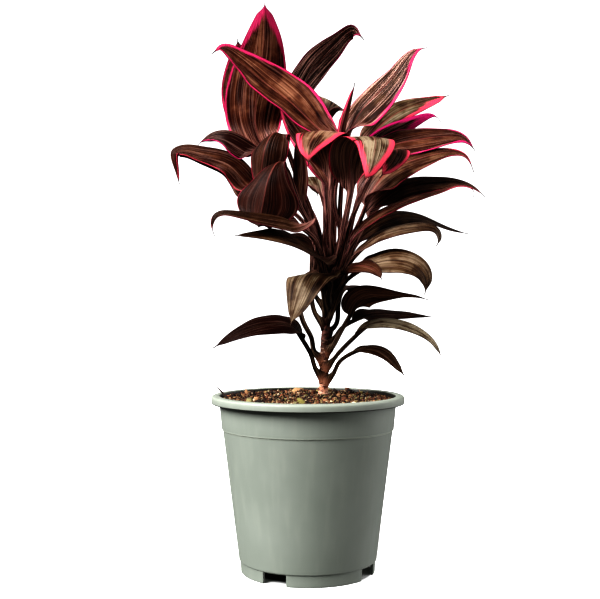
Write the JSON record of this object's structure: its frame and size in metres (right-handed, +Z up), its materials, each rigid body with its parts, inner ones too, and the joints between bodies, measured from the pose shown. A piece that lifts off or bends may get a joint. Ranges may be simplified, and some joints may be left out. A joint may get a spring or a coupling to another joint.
{
  "type": "potted ti plant",
  "caption": "Leafy upright foliage plant on one leaning cane, with long-stalked lance leaves, rooted in a filled round nursery pot.",
  "frame": {"origin": "middle of the whole plant's bounding box, on the surface that the pot stands on", "axes": "+Z up along the pot's axis, +X to the right and +Y away as seen from the front"},
  "size_m": [0.3134, 0.2336, 0.5713],
  "materials": {
    "pot": "moulded sage grey-green plastic, satin",
    "soil": "crumbly peat and bark potting mix",
    "bark": "rough dark bark splinter",
    "cane": "smooth brown cane with ringed leaf scars",
    "leaf_old": "satin dark bronze leaf with fine parallel veins",
    "leaf_young": "satin burgundy leaf with hot pink margins"
  },
  "bodies": {
    "root": {"pot": "pot", "soil": "soil", "twig": "bark", "stem": "cane", "leaf_right_lowest": "leaf_old", "leaf_left_low": "leaf_old", "leaf_right_glare": "leaf_old", "leaf_back_low_left": "leaf_old", "leaf_right_pink_under": "leaf_old", "leaf_right_black": "leaf_old", "leaf_back_low_right": "leaf_old", "leaf_left_strip": "leaf_old", "leaf_right_drooping": "leaf_old", "leaf_left_level": "leaf_old", "leaf_back_mid": "leaf_old", "leaf_right_low_back": "leaf_old", "leaf_left_hooked": "leaf_old", "leaf_front_folded": "leaf_old", "leaf_right_mid": "leaf_old", "leaf_back_left": "leaf_old", "leaf_right_low_front": "leaf_old", "leaf_left_thin_hook": "leaf_old", "leaf_left_black": "leaf_young", "leaf_right_magenta": "leaf_young", "leaf_front_small": "leaf_young", "leaf_back_tall": "leaf_young", "leaf_right_slender": "leaf_young", "leaf_left_hanging": "leaf_young", "leaf_back_arching": "leaf_young", "leaf_right_long": "leaf_young", "leaf_left_hooded": "leaf_young", "leaf_front_right_short": "leaf_young", "leaf_rear_up_right": "leaf_young", "leaf_left_rising": "leaf_young", "leaf_right_olive": "leaf_young", "leaf_front_right": "leaf_young", "leaf_right_striped": "leaf_young", "leaf_right_broad": "leaf_young", "leaf_front_left": "leaf_young", "leaf_left_diagonal": "leaf_young", "leaf_spear": "leaf_young"}
  },
  "joints": []
}
